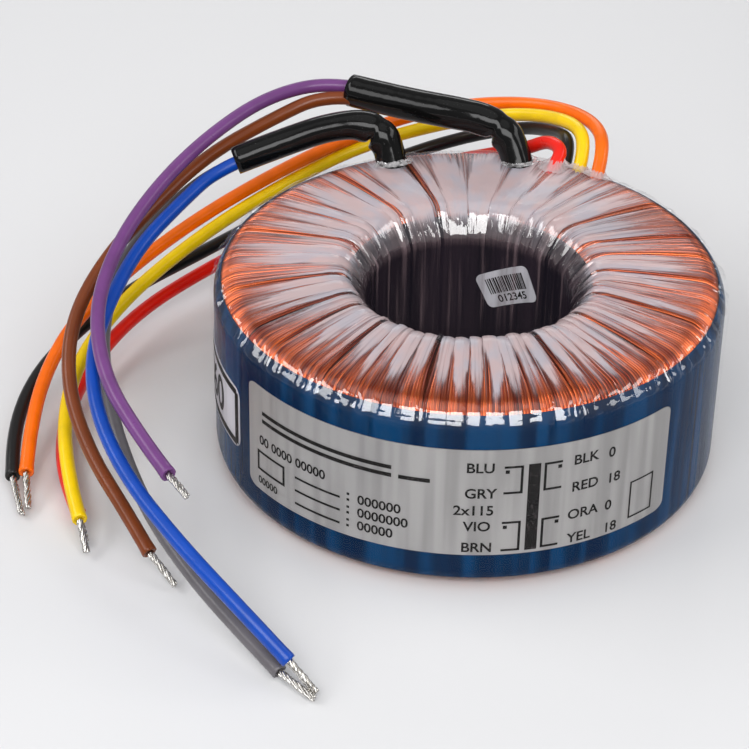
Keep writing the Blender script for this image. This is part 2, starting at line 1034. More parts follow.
@dataclass
class FilmWrap:
    """Clear film wound round the ring in uneven overlapping pleats.

    Widths are in degrees. A slant is how far the film's normal rises: 0 on an upright wall and 1
    on the flat top. Two numbers are a range: for the dice, or over which something comes or goes.
    """

    section: RingSection
    parts: tuple[float, ...] = (0.0, 0.04, 0.12, 0.25, 0.38, 0.5, 0.62, 0.75, 0.88, 0.97)
    steps: tuple[int, ...] = (4, 9, 8, 12, 10, 4, 3, 5)
    width: Range = (3.6, 6.6)
    wider_behind: float = 8.0
    bare_width: float = 2.2
    bare_gap: float = 0.7
    least_width: float = 2.5
    cloudiest: float = 0.95
    clearer_aside: float = 0.3
    clouds: Range = (-0.3, 0.1)
    bare_cloud: float = 0.06
    lift: Range = (0.08 * MM, 0.24 * MM)
    crown: Range = (0.03 * MM, 0.16 * MM)
    slack: Range = (-0.08 * MM, 0.12 * MM)
    tilt: Range = (-0.3 * MM, 0.3 * MM)
    tucked: float = 0.1 * MM
    tucked_on_top: float = 0.25 * MM
    rim_rounding: float = 0.12 * MM
    rim_rounding_slants: Range = (0.38, 0.79)
    rim_rib: float = 2.0
    rim_rib_slants: Range = (0.65, 1.0)
    rim_rib_fall: float = 6 * MM
    hole_rib: float = 1.4
    hole_rib_slant: float = 0.7
    hole_rib_width: float = 0.3
    bridge_tilt: float = 35.0
    bridge_reach: float = 21.0
    bridge_fade: Range = (1.0, 2.5)
    rim_bridge: float = 0.65
    rim_lean: float = 0.4
    leaf_from: float = 5 * MM
    leaf_to: float = 4 * MM
    veil_slants: Range = (0.4, 0.9)
    veil_clear: float = 0.6 * MM
    veil_fade: float = 5 * MM
    milk_below: float = 0.6
    line_milk: float = 0.08
    dusk_slants: Range = (0.25, 0.75)
    haze_front: float = 0.21
    haze_behind: float = 0.31
    haze_side: float = 0.06
    bare_haze: float = 0.25
    hole_haze: float = 0.8
    hole_haze_slant: float = 0.3
    hole_haze_width: float = 0.4
    shine_wall: float = 0.007
    shine_top: float = 0.014
    shine_edge: float = 0.11
    shine_from: Range = (0.0, 0.3)
    shine_to: Range = (0.85, 0.97)
    rim_shine_from: Range = (0.25, 0.4)
    seed: int = 21
    pleats: list[Pleat] = field(default_factory=list)

    def _lay(self) -> None:
        """Chooses the pleats: wide and milky at the back, narrow and mixed at the sides."""
        dice, tilts = random.Random(self.seed), random.Random(self.seed + 1)
        edge, ring = -180.0, 180.0
        while edge < ring - 0.01:
            behind, side = facing(edge)
            width = dice.uniform(*self.width) + self.wider_behind * behind**4 * dice.random()
            ahead = [part for part in PARTINGS if edge < part < edge + width + self.bare_width]
            bare = bool(ahead) and ahead[0] - edge < self.bare_gap * self.bare_width
            if bare:
                width = self.bare_width
            elif ahead:
                width = ahead[0] - self.bare_width / 2 - edge
            stop = edge + width if edge + width < ring - self.least_width else ring
            cloud = self.cloudiest - self.clearer_aside * side
            cloud += dice.uniform(*self.clouds) * (0.5 + side)
            pleat = Pleat(
                start=edge,
                stop=stop,
                lift=dice.uniform(*self.lift),
                crown=dice.uniform(*self.crown),
                slack=dice.uniform(*self.slack),
                cloud=self.bare_cloud if bare else min(1.0, cloud),
                tilt=tilts.uniform(*self.tilt),
            )
            self.pleats.append(pleat)
            edge = stop

    def _veil(self, outline: Outline) -> tuple[np.ndarray, np.ndarray]:
        """How milky the film may be and how far out it is, along the section.

        Args:
            outline: the section's outline.

        Returns:
            The veil and the reach at each point.
        """
        bore, wall = self.section.bore, self.section.wall
        reach = ramp(outline.radius, bore + self.leaf_from, wall - self.leaf_to)
        flat = ramp(np.abs(outline.rising), *self.veil_slants) ** 1.5
        clear = wall - self.veil_clear
        fade = 1 - ramp(outline.radius, clear - self.veil_fade, clear)
        return flat * fade * np.where(outline.rising < 0, self.milk_below, 1.0), reach

    def _ribs(self, outline: Outline) -> np.ndarray:
        """How much more the pleats stand out as ribs over the rim, under it and over the hole.

        Args:
            outline: the section's outline.

        Returns:
            The extra height at each point, as a share of a pleat's crown.
        """
        shoulder = self.section.top - self.section.top_edge
        under = np.clip(shoulder - outline.height, 0, None)
        rim = eased(1 - ramp(outline.rising, *self.rim_rib_slants)) * ~outline.at_hole()
        rim = rim * hump(under, 0.0, self.rim_rib_fall) * (outline.outward > -0.01)
        hole = hump(outline.rising, self.hole_rib_slant, self.hole_rib_width) * outline.at_hole()
        return (self.rim_rib * rim + self.hole_rib * hole) * (outline.rising > -0.01)

    def _bridge(self, outline: Outline) -> tuple[np.ndarray, np.ndarray]:
        """How far the taut film stands off where it bridges the rounded edges.

        Args:
            outline: the section's outline.

        Returns:
            The stand-off at each point, and a slope from -1 to 1 across each bridge.
        """
        hole, rising = outline.at_hole(), outline.rising
        slope = np.degrees(np.arcsin(np.clip(rising, -1, 1)))
        reach = self.bridge_reach * np.where(hole, 1.0, self.rim_bridge)
        edge = np.where(hole, self.section.hole_edge, self.section.top_edge)
        off = (slope - self.bridge_tilt) / reach
        flat = 1 / np.cos(np.radians(np.minimum(np.abs(off), 1) * reach)) - 1
        fade = (1 - ramp(np.abs(off), *self.bridge_fade)) * (rising > 0) * (rising < 0.999)
        return edge * flat * fade, np.clip(off, -1, 1) * fade * np.where(hole, 1.0, self.rim_lean)

    def _shine(self, outline: Outline, azimuth: np.ndarray) -> np.ndarray:
        """Share of light that the film mirrors face on: most where it is taut over an edge.

        Args:
            outline: the section's outline.
            azimuth: azimuth of each column.

        Returns:
            One row for each column, one value for each point of the outline.
        """
        rising = outline.rising
        plain = self.shine_wall + (self.shine_top - self.shine_wall) * np.clip(rising, 0, 1)
        slant = np.abs(rising)
        edge = ramp(slant, *self.shine_from) * (1 - ramp(slant, *self.shine_to))
        behind = np.minimum(1.6 * facing(azimuth)[0], 1.0)
        rim = edge * ramp(rising, *self.rim_shine_from) * outline.at_rim()
        return plain + self.shine_edge * (rim + np.outer(behind, edge * outline.at_hole()))

    def _haze(
        self,
        outline: Outline,
        azimuth: np.ndarray,
        cloud: np.ndarray,
        veil: np.ndarray,
        reach: np.ndarray,
    ) -> np.ndarray:
        """Even milkiness: most at the back and sides, little at the front and over bare turns.

        Args:
            outline: the section's outline.
            azimuth: azimuth of each column.
            cloud: milkiness of each column's pleat.
            veil: how milky each point of the outline may be.
            reach: how far out it is.

        Returns:
            One row for each column, one value for each point of the outline.
        """
        behind, side = facing(azimuth)
        most = self.haze_front + self.haze_behind * behind + self.haze_side * side
        most = most * np.where(cloud < 0.1, self.bare_haze, 0.7 + 0.4 * cloud)
        kept = 0.8 * np.maximum(behind, side)
        outward = 1 - np.outer(1 - kept, reach)
        hole_edge = outline.at_hole() & (outline.rising > -0.05)
        off = np.abs(outline.rising - self.hole_haze_slant)
        lower = (1 - ramp(off, 0.0, self.hole_haze_width)) * hole_edge * self.hole_haze
        return most[:, None] * np.maximum(veil * outward, lower)

    def _depths(self, outline: Outline, columns: list[tuple[Pleat, float]]) -> np.ndarray:
        """How deep the film lies under its section.

        Args:
            outline: the section's outline.
            columns: the pleat of each column, and the share of its width where the column is.

        Returns:
            One row for each column, one value for each point of the outline.
        """
        ribs = self._ribs(outline)
        bridge, leaning = self._bridge(outline)
        rounded = ramp(outline.rising, *self.rim_rounding_slants)
        rim = np.sin(rounded * math.pi) * outline.at_rim()
        tucked = self.tucked + self.tucked_on_top * outline.rising**2
        depths = []
        for pleat, part in columns:
            swell = math.sin(math.pi * part)
            rise = pleat.lift * part - pleat.crown * swell * (1 + ribs)
            rounding = (self.rim_rounding + pleat.slack * swell) * rim
            depths.append(rise + rounding - bridge + pleat.tilt * leaning + tucked)
        return np.stack(depths)

    def mesh(self) -> bpy.types.Mesh:
        """The pleated skin, with what its finish needs stored on its points."""
        self._lay()
        outline = self.section.outline(self.steps)
        columns = [(pleat, part) for pleat in self.pleats for part in self.parts]
        across = np.array([part for _, part in columns])
        starts = np.array([pleat.start for pleat, _ in columns])
        stops = np.array([pleat.stop for pleat, _ in columns])
        cloud = np.array([pleat.cloud for pleat, _ in columns])
        azimuth = starts + (stops - starts) * across
        angle = azimuth[:, None] + swirl(azimuth, outline, self.section)
        points = outline.under(self._depths(outline, columns), angle)
        mesh = grid_mesh("film", points, True, True)
        add_wrap(mesh, azimuth, outline.run)
        veil, reach = self._veil(outline)
        stored = {
            "across": across[:, None],
            "cloud": cloud[:, None],
            "veil": veil,
            "reach": reach,
            "haze": self._haze(outline, azimuth, cloud, veil, reach),
            "lines": np.where(outline.outward > 0.3, self.line_milk, 0.0),
            "hole": (1 - ramp(outline.rising, *self.dusk_slants)) * (outline.outward < 0),
            "shine": self._shine(outline, azimuth),
        }
        for name, values in stored.items():
            every = np.broadcast_to(values, angle.shape).astype(np.float32)
            mesh.attributes.new(name, "FLOAT", "POINT").data.foreach_set("value", every.ravel())
        self._crease(mesh, across == 0.0, len(outline.run))
        return mesh

    @staticmethod
    def _crease(mesh: bpy.types.Mesh, starts: np.ndarray, rows: int) -> None:
        """Marks the edges that run along a pleat's step as sharp.

        Args:
            mesh: the film.
            starts: whether each column starts a pleat.
            rows: points in each column.
        """
        ends = np.zeros(len(mesh.edges) * 2, dtype=np.int32)
        mesh.edges.foreach_get("vertices", ends)
        columns = ends.reshape(-1, 2) // rows
        stepped = starts | np.roll(starts, -1)
        along = (columns[:, 0] == columns[:, 1]) & stepped[columns[:, 0]]
        mesh.attributes.new("sharp_edge", "BOOLEAN", "EDGE").data.foreach_set("value", along)


# ---------------------------------------------------------------- leads


LEAD_RADIUS = 1.3 * MM

LEAD_ROUTES: dict[str, list[Point]] = {
    "blue": [
        (-37.3, 40, 37.6), (-47, 37.5, 34.4), (-53, 29.5, 32), (-60, 16.5, 30), (-64, 1.5, 28),
        (-66, -14, 26.5), (-64, -29.5, 24.5), (-57.5, -44, 21), (-47.5, -56.5, 16.5),
        (-36.5, -66.5, 10.5), (-29.6, -70.9, 5),
    ],
    "grey": [
        (-37.3, 42.4, 36.4), (-47, 39.9, 33), (-55, 34.4, 28.9), (-63.5, 22, 24.5),
        (-66.5, 6, 20), (-64.5, -10.5, 17.5), (-60.5, -26.5, 15.5), (-54.5, -41, 12),
        (-46.5, -53.5, 8.5), (-37.5, -64, 5), (-31.1, -70.3, 2.1),
    ],
    "violet": [
        (-15.2, 53.8, 42.5), (-25.2, 59, 42.5), (-38, 53.5, 41.9), (-49, 41.5, 39.2),
        (-57.5, 26.5, 36.7), (-63.5, 10, 34), (-66, -7, 31), (-63, -24, 28),
        (-55.5, -38.5, 25.5), (-50.2, -46.8, 24),
    ],
    "brown": [
        (-16.4, 51.6, 41.7), (-26.2, 56.6, 41.4), (-38.5, 50.5, 37.6), (-49.5, 42.1, 34.6),
        (-59, 28.3, 31), (-67, 15, 27), (-71.5, 1.5, 22.5), (-71, -12, 17.5), (-66, -25, 12.5),
        (-58.5, -36.5, 8), (-54.3, -42.6, 4.5),
    ],
    "orange": [
        (24, 32.8, 34.7), (26, 37.5, 39), (25.6, 48.5, 39.8), (18, 61, 37), (5, 68.5, 33.5),
        (-10, 70.5, 29.5), (-24, 64, 26.5), (-38, 54.5, 23.5), (-51.5, 43.5, 20),
        (-63.5, 31.5, 16), (-73, 18, 12.5), (-77.5, 4, 9), (-78.5, -10.5, 6),
        (-78.2, -18.9, 3.6),
    ],
    "yellow": [
        (21, 36.2, 34.7), (23, 41, 39.3), (20.8, 50.5, 39.3), (10, 61.5, 35), (-5.5, 67, 29),
        (-20.5, 65.5, 24.5), (-33.5, 57, 21.5), (-45, 46, 19.5), (-55.5, 34, 17),
        (-64.5, 21, 14.5), (-71, 6.5, 11.5), (-72.5, -8.5, 9), (-70, -24.5, 6.5),
        (-67.1, -33.7, 4.5),
    ],
    "black": [
        (18.7, 39.4, 34.7), (20.1, 43.6, 38.2), (18.4, 54, 34.9), (12, 65, 30), (-1, 70.5, 24),
        (-15.5, 69, 19), (-28.5, 62, 15.5), (-41, 53.5, 13), (-52.5, 44, 11), (-64, 34, 9.5),
        (-73.5, 20.5, 8), (-80, 6.5, 6.5), (-82, -9, 4.5), (-80.7, -18.8, 2.6),
    ],
    "red": [
        (15.5, 35.4, 34.6), (16.7, 36.9, 36.6), (18.3, 40.1, 38.6), (15.8, 44.8, 37.9),
        (12, 47.2, 34.8), (7.5, 52, 31.2), (0, 57.5, 26.5), (-9.5, 61.5, 21.5),
        (-20, 61.5, 16.5), (-30.5, 58.5, 12.5), (-41, 52.5, 9), (-52, 44.5, 6.5),
        (-61.5, 34.5, 5), (-68, 22.5, 4), (-72, 9, 3), (-73.5, -5, 2.5), (-71.5, -19, 2),
        (-68.1, -27.9, 1.5),
    ],
}

TINNED_TIPS: dict[str, Point] = {
    "blue": (-24.8, -74.2, 0.9),
    "grey": (-25.1, -75.6, 0.8),
    "violet": (-46.5, -53, 23.8),
    "brown": (-49.5, -47.3, 0.9),
    "orange": (-77.1, -26.3, 0.9),
    "yellow": (-65.5, -38.7, 0.9),
    "black": (-78, -28.2, 0.9),
    "red": (-65.9, -35.6, 0.9),
}

SLEEVE_ROUTES: dict[str, list[Point]] = {
    "sleeve_1": [
        (-13.7, 37, 34.4), (-14.5, 39.5, 39.5), (-18, 41, 42.7), (-25, 42.5, 41.5),
        (-34, 42, 38.3), (-43.8, 39.7, 35),
    ],
    "sleeve_2": [
        (10.2, 38.3, 34.8), (9, 41, 39.5), (5, 43, 43), (-3, 46, 43), (-12.5, 51, 42.2),
        (-22, 56, 42),
    ],
}


def metres(points: Sequence[Point]) -> list[Vector]:
    """Points in millimetres as vectors in metres."""
    return [Vector(point) * MM for point in points]


# Rings of the lip where the insulation was cut: millimetres past the cut, radius as a share of
# the lead's, and raggedness.
LIP_RINGS = (
    (-1.5, 1.0, 0.0), (-0.9, 1.02, 0.0), (-0.3, 1.045, 0.15), (0.12, 1.03, 0.35),
    (0.22, 0.9, 0.3), (0.1, 0.62, 0.1), (-0.4, 0.5, 0.0),
)


def collar_mesh(
    name: str, rings: int, sides: int, place: Callable[[int, int, float], Vector]
) -> bpy.types.Mesh:
    """Open collar of rings.

    Args:
        name: the mesh's name.
        rings: number of rings.
        sides: points to a ring.
        place: the point at a ring, a corner and the corner's angle.

    Returns:
        The mesh.
    """
    angles = list(enumerate(round_angles(sides)))
    points = [
        [list(place(ring, corner, angle)) for corner, angle in angles] for ring in range(rings)
    ]
    return grid_mesh(name, np.array(points), False, True)


@dataclass
class Lead:
    """One insulated lead with its bare tinned end. Two numbers are a range for the dice."""

    name: str
    insulation: Insulation
    length: float
    strands: int = 6
    strand_steps: int = 24
    strand_sides: int = 8
    strand_radius: float = 0.27 * MM
    strand_ring: float = 0.39 * MM
    strand_turn: Range = (-0.2, 0.2)
    strand_share: Range = (0.93, 1.0)
    strand_size: Range = (0.9, 1.1)
    strand_taper: float = 0.25
    strand_wobble: float = 0.12
    twist: float = 6.5 * MM
    swell: float = 0.18 * MM
    swell_length: float = 3 * MM
    lip_sides: int = 36
    on_it: list[bpy.types.Object] = field(default_factory=list)

    def build(self, tin: bpy.types.Material) -> bpy.types.Object:
        """Places the lead, its cut end and its strands.

        Args:
            tin: finish of the strands.

        Returns:
            The lead's curve.
        """
        route = metres(LEAD_ROUTES[self.name])
        curve = spline_curve("lead_" + self.name, route, 10)
        curve.bevel_depth = LEAD_RADIUS
        curve.bevel_resolution = 6
        curve.use_fill_caps = True
        material = self.insulation.material()
        lead = add_piece("flex_" + self.name, curve, material, ["lead_" + self.name])
        pieces = [self._strands(route, tin), self._cut_end(route, material)]
        pieces + self.on_it
        return lead

    def _strands(self, route: list[Vector], tin: bpy.types.Material) -> bpy.types.Object:
        """Twisted tinned strands from the cut end to the tip.

        Args:
            route: the lead's control points.
            tin: their finish.

        Returns:
            The strands.
        """
        dice = random.Random(self.name)
        start, tip = route[-1], Vector(TINNED_TIPS[self.name]) * MM
        run = (route[-1] - route[-2]).normalized()
        edit = bmesh.new()
        for strand in range(self.strands):
            phase = 2 * math.pi * strand / (self.strands - 1) + dice.uniform(*self.strand_turn)
            share = dice.uniform(*self.strand_share)
            ring = self.strand_ring if strand else 0.0
            line = self._strand_line(start, tip, run, ring, phase, share)
            radius = partial(self._thickness, self.strand_radius * dice.uniform(*self.strand_size))
            part = tube_mesh("strand", line, radius, self.strand_sides)
            edit.from_mesh(part)
            bpy.data.meshes.remove(part)
        mesh = bpy.data.meshes.new("strands_" + self.name)
        edit.to_mesh(mesh)
        edit.free()
        replaced = ["tinned_end_" + self.name]
        return add_piece("strands_" + self.name, mesh, tin, replaced)

    def _thickness(self, radius: float, share: float, angle: float) -> float:
        """Radius of a round strand at a share of its length: it tapers at its very tip."""
        return radius * (1 - self.strand_taper * share**8)

    def _strand_line(
        self, start: Vector, tip: Vector, run: Vector, ring: float, phase: float, share: float
    ) -> list[Vector]:
        """Centre line of one strand.

        Args:
            start: where the insulation ends.
            tip: where the longest strands end.
            run: direction of the lead at its end.
            ring: the strand's distance from the middle of the bundle.
            phase: its angle round the bundle at the start.
            share: its length, as a share of the longest.

        Returns:
            The line's points.
        """
        ahead = (tip - start).normalized()
        side, up = crosswise(ahead)
        stop = (tip - start).length * share
        line = []
        for step in range(self.strand_steps + 1):
            part = step / self.strand_steps
            along = stop * part
            reach = ring * (1 + self.strand_wobble * math.sin(9 * part * math.pi + phase * 2))
            bend = run * (self.swell * math.sin(min(1.0, along / self.swell_length) * math.pi))
            turn = phase + 2 * math.pi * along / self.twist
            line.append(aside(start + ahead * along + bend, side, up, turn, reach))
        return line

    def _cut_end(
        self, route: list[Vector], material: bpy.types.Material
    ) -> bpy.types.Object:
        """Slightly flared and ragged lip where the insulation was cut.

        Args:
            route: the lead's control points.
            material: the insulation.

        Returns:
            The lip.
        """
        dice = random.Random(self.name + "lip")
        ahead = (route[-1] - route[-2]).normalized()
        side, up = crosswise(ahead)
        ragged = [dice.uniform(-0.5, 1.0) for _ in range(self.lip_sides)]

        def place(ring: int, corner: int, angle: float) -> Vector:
            """Point of the lip.

            Args:
                ring: number of the ring.
                corner: number of the point on it.
                angle: that point's angle.

            Returns:
                The point.
            """
            along, reach, rough = LIP_RINGS[ring]
            out = LEAD_RADIUS * (reach + 0.02 * ragged[corner] * (rough > 0))
            past = (along + 0.3 * rough * ragged[corner]) * MM
            return aside(route[-1] + ahead * past, side, up, angle, out)

        mesh = collar_mesh("lip_" + self.name, len(LIP_RINGS), self.lip_sides, place)
        return add_piece("lip_" + self.name, mesh, material)


@dataclass
class Sleeve:
    """Black shrink sleeve: round at its foot, pinched at its bend and oval over its two leads.

    Places along it are shares of its length.
    """

    name: str
    foot_radius: float = 2.95 * MM
    mouth_long: float = 3.25 * MM
    mouth_short: float = 2.7 * MM
    oval_from: float = 0.3
    oval_at: float = 0.65
    pinch_at: float = 0.3
    pinch: float = 0.9 * MM
    swell: float = 0.45 * MM
    ripple: float = 0.25 * MM
    wall: float = 0.45 * MM
    sides: int = 56
    steps: int = 16

    def build(self, material: bpy.types.Material) -> bpy.types.Object:
        """Places the sleeve.

        Args:
            material: its finish.

        Returns:
            The sleeve.
        """
        line = curve_points(metres(SLEEVE_ROUTES[self.name]), self.steps)
        side = Vector((0.0, 0.0, 1.0)).cross(line[-1] - line[0]).normalized()
        mesh = tube_mesh(self.name, line, self._radius, self.sides, side, self.wall)
        return add_piece("shrink_" + self.name, mesh, material, [self.name])

    def _radius(self, share: float, angle: float) -> float:
        """Radius of the sleeve.

        Args:
            share: share of the length, from the foot.
            angle: angle round it, with the underside at -90 degrees.

        Returns:
            The radius.
        """
        oval = eased(ramp(share, self.oval_from, self.oval_at))
        long = self.foot_radius + (self.mouth_long - self.foot_radius) * oval
        short = self.foot_radius + (self.mouth_short - self.foot_radius) * oval
        under = max(0.0, -math.sin(angle))
        pinch = hump(share, self.pinch_at, 0.03) * (0.25 + 0.75 * under)
        swell = hump(share, self.pinch_at - 0.1, 0.05) * (0.3 + 0.7 * under)
        ripple = hump(share, self.pinch_at + 0.12, 0.06) * under
        shape = math.hypot(long * math.cos(angle), short * math.sin(angle))
        return shape - self.pinch * pinch + self.swell * swell + self.ripple * ripple


# Rings of the gathered film: share of its spread, share of its rise and raggedness.
GATHER_RINGS = (
    (0.0, 1.0, 0.15), (0.25, 0.55, 0.6), (0.6, 0.2, 0.8), (0.95, 0.0, 0.5), (1.0, -0.06, 0.5),
)


@dataclass
class FilmGather:
    """Film drawn up round a sleeve or a lead where it leaves the ring."""

    name: str
    centre: Point
    axis: Point
    inner: float
    rise: float
    spread: float
    lean: Point = (0.0, 0.0, 0.0)
    raggedness: float = 0.12 * MM
    sides: int = 60

    def build(self, material: bpy.types.Material) -> bpy.types.Object:
        """Places the gathered film.

        Args:
            material: its finish.

        Returns:
            The piece.
        """
        dice = random.Random(self.name)
        ahead = Vector(self.axis).normalized()
        side, up = crosswise(ahead)
        climb = ahead + Vector(self.lean)
        folds = [dice.uniform(-1, 1) for _ in range(self.sides)]

        def place(ring: int, corner: int, angle: float) -> Vector:
            """Point of the gathered film: three corners to each fold.

            Args:
                ring: number of the ring.
                corner: number of the point on it.
                angle: that point's angle.

            Returns:
                The point.
            """
            share, height, rough = GATHER_RINGS[ring]
            out = self.inner + self.spread * share * (1 + 0.25 * folds[corner - corner % 3])
            lift = self.rise * height * (1 + 0.3 * folds[corner])
            lift += self.raggedness * rough * folds[(corner * 7) % self.sides]
            return aside(Vector(self.centre) + climb * lift, side, up, angle, out)

        mesh = collar_mesh(self.name, len(GATHER_RINGS), self.sides, place)
        return add_piece(self.name, mesh, material, smooth=False)


# ---------------------------------------------------------------- labels


# Left, bottom, width and height of a bar, and words with their left, bottom and size, all in
# millimetres from the middle of the print.
Box = tuple[float, float, float, float]
Words = tuple[str, float, float, float]


@dataclass
class LabelPrint:
    """Dark print wrapped round the ring at one radius, tilted by some degrees."""

    radius: float
    azimuth: float
    height: float
    inside: bool = False
    tilt: float = 0.0
    boldness: float = 0.02

    def _wrap(self, mesh: bpy.types.Mesh) -> None:
        """Cuts a flat mesh into upright strips of a millimetre and bends it onto the label.

        Args:
            mesh: the flat mesh, in metres across and up.
        """
        edit = bmesh.new()
        edit.from_mesh(mesh)
        low = min(vertex.co.x for vertex in edit.verts)
        high = max(vertex.co.x for vertex in edit.verts)
        cut = math.floor(low / MM) + 1
        while cut * MM < high:
            geometry = edit.verts[:] + edit.edges[:] + edit.faces[:]
            place = (cut * MM, 0, 0)
            bmesh.ops.bisect_plane(edit, geom=geometry, plane_co=place, plane_no=(1, 0, 0))
            cut += 1
        cos, sin = math.cos(math.radians(self.tilt)), math.sin(math.radians(self.tilt))
        for vertex in edit.verts:
            across = vertex.co.x * cos - vertex.co.y * sin
            up = vertex.co.x * sin + vertex.co.y * cos
            turn = across / self.radius * (-1 if self.inside else 1)
            angle = math.radians(self.azimuth) + turn
            x, y = self.radius * math.sin(angle), -self.radius * math.cos(angle)
            vertex.co = (x, y, self.height + up)
        edit.to_mesh(mesh)
        edit.free()

    def bars(
        self, name: str, boxes: Sequence[Box], material: bpy.types.Material
    ) -> bpy.types.Object:
        """Prints bars.

        Args:
            name: the piece's name.
            boxes: the bars.
            material: the ink.

        Returns:
            The piece.
        """
        points, faces = [], []
        for left, bottom, width, tall in boxes:
            first = len(points)
            for x, y in ((0, 0), (width, 0), (width, tall), (0, tall)):
                points.append(((left + x) * MM, (bottom + y) * MM, 0.0))
            faces.append((first, first + 1, first + 2, first + 3))
        mesh = plain_mesh(name, points, faces)
        self._wrap(mesh)
        return add_piece(name, mesh, material, smooth=False)

    def words(
        self, name: str, lines: Sequence[Words], material: bpy.types.Material
    ) -> bpy.types.Object:
        """Prints plain words.

        Args:
            name: the piece's name.
            lines: the words.
            material: the ink.

        Returns:
            The piece.
        """
        joined = bmesh.new()
        for text, left, bottom, size in lines:
            font = bpy.data.curves.new(name, "FONT")
            font.body = text
            font.size = size * MM
            font.offset = self.boldness * size * MM
            holder = bpy.data.objects.new(name, font)
            flat = bpy.data.meshes.new_from_object(holder)
            flat.transform(Matrix.Translation((left * MM, bottom * MM, 0.0)))
            joined.from_mesh(flat)
            bpy.data.objects.remove(holder)
            bpy.data.meshes.remove(flat)
        mesh = bpy.data.meshes.new(name)
        joined.to_mesh(mesh)
        joined.free()
        self._wrap(mesh)
        return add_piece(name, mesh, material, smooth=False)


# ---------------------------------------------------------------- studio


# Name, place, width and height of the face, and watts of each soft lamp.
LAMPS = (
    ("front", (0.0, -0.68, 0.64), (0.9, 0.42), 6.8),
    ("back", (-0.05, 1.0, 0.47), (0.6, 0.2), 1.0),
    ("left", (-0.8, 0.0, 0.68), (1.1, 0.35), 4.4),
    ("right", (0.8, 0.05, 0.62), (0.9, 0.25), 2.0),
)


@dataclass
class Studio:
    """Camera, floor and soft lamps."""

    camera_place: Point = (-0.016531, -0.390710, 0.274035)
    right: Point = (0.99982, 0.01041, 0.01559)
    up: Point = (-0.01875, 0.55508, 0.83159)
    ahead: Point = (0.0, 0.83173, -0.55518)
    lens: float = 124.0
    sensor: float = 36.0
    aim: Point = (0.0, 0.0, 0.02)
    floor_reach: float = 40.0
    floor_drop: float = 0.2 * MM
    floor_colours: tuple[Colour, Colour] = ((0.70, 0.70, 0.71), (0.74, 0.74, 0.75))
    world_colour: Colour = (0.25, 0.25, 0.255)
    overhead_power: float = 0.35
    overhead_angle: float = 60.0

    def camera(self) -> None:
        """Places the camera."""
        data = bpy.data.cameras.new("camera")
        data.lens = self.lens
        data.sensor_width = self.sensor
        data.clip_start = 0.01
        data.clip_end = 200.0
        camera = link("camera", data)
        turn = Matrix((self.right, self.up, -Vector(self.ahead))).transposed()
        camera.matrix_world = Matrix.Translation(self.camera_place) @ turn.to_4x4()
        bpy.context.scene.camera = camera

    def floor(self) -> None:
        """Lays the pale floor."""
        shader = Shader("floor")
        colour = shader.blend(shader.noise(scale=3.0), *self.floor_colours)
        reach = self.floor_reach
        corners = [(-reach, -reach, 0), (reach, -reach, 0), (reach, reach, 0), (-reach, reach, 0)]
        mesh = plain_mesh("floor", corners, [(0, 1, 2, 3)])
        mesh.materials.append(shader.finish(Base_Color=colour, Roughness=0.4))
        plane = link("floor", mesh)
        plane.location.z = -self.floor_drop

    def lamp(self, name: str, place: Point, size: Range, power: float) -> None:
        """Hangs one soft lamp that looks at the ring.

        Args:
            name: the lamp's name.
            place: where it hangs.
            size: width and height of its face.
            power: in watts.
        """
        data = bpy.data.lights.new(name, "AREA")
        data.shape = "RECTANGLE"
        data.size, data.size_y = size
        data.energy = power
        lamp = link(name, data)
        lamp.location = place
        facing_ring = Vector(self.aim) - Vector(place)
        lamp.rotation_euler = facing_ring.to_track_quat("-Z", "Y").to_euler()

    def overhead(self) -> None:
        """Hangs a very soft light overhead, which reaches the far floor too."""
        data = bpy.data.lights.new("overhead", "SUN")
        data.energy = self.overhead_power
        data.angle = math.radians(self.overhead_angle)
        link("overhead", data)

    def world(self) -> None:
        """Plain pale surroundings."""
        world = bpy.data.worlds.new("studio")
        bpy.context.scene.world = world
        world.use_nodes = True
        background = world.node_tree.nodes["Background"]
        background.inputs["Color"].default_value = (*self.world_colour, 1.0)
        background.inputs["Strength"].default_value = 1.0

    def build(self) -> None:
        """Places everything round the object."""
        self.camera()
        self.floor()
        self.world()
        self.overhead()
        for lamp in LAMPS:
            self.lamp(*lamp)
        bpy.context.scene.view_settings.view_transform = "Standard"


# ---------------------------------------------------------------- the transformer


# Name and colour of each lead, and its insulated length in metres.
LEADS = (
    ("blue", (0.002, 0.062, 0.42), 0.1405),
    ("grey", (0.135, 0.125, 0.135), 0.1413),
    ("violet", (0.17, 0.052, 0.21), 0.1370),
    ("brown", (0.20, 0.043, 0.008), 0.1375),
    ("orange", (0.98, 0.16, 0.0), 0.1855),
    ("yellow", (0.97, 0.65, 0.0), 0.1856),
    ("black", (0.010, 0.009, 0.009), 0.1778),
    ("red", (0.90, 0.013, 0.004), 0.1758),
)

# Name, foot, axis, inner radius, rise, spread and lean of the film drawn up round each sleeve
# and round the leads that leave the film bare.
GATHERS = (
    ("film_gather_1", (-0.0137, 0.037, 0.0368), (-0.15, 0.3, 1.0), 2.9 * MM, 0.7 * MM, 1.1 * MM),
    ("film_gather_2", (0.0101, 0.0385, 0.0368), (-0.1, 0.2, 1.0), 2.9 * MM, 0.4 * MM, 0.8 * MM),
)
CUFFS = (
    (
        "film_cuff_red", (0.0167, 0.0371, 0.0366), (0.0, 0.1, 1.0),
        1.4 * MM, 1.0 * MM, 1.6 * MM, (0.45, 0.7, 0.0),
    ),
    (
        "film_cuff_yellow", (0.0214, 0.0373, 0.0357), (0.28, 0.48, 0.83),
        1.38 * MM, 0.9 * MM, 1.5 * MM,
    ),
    (
        "film_cuff_orange", (0.0246, 0.0346, 0.0361), (0.24, 0.34, 0.91),
        1.4 * MM, 0.9 * MM, 1.5 * MM, (0.1, 0.4, -0.2),
    ),
)


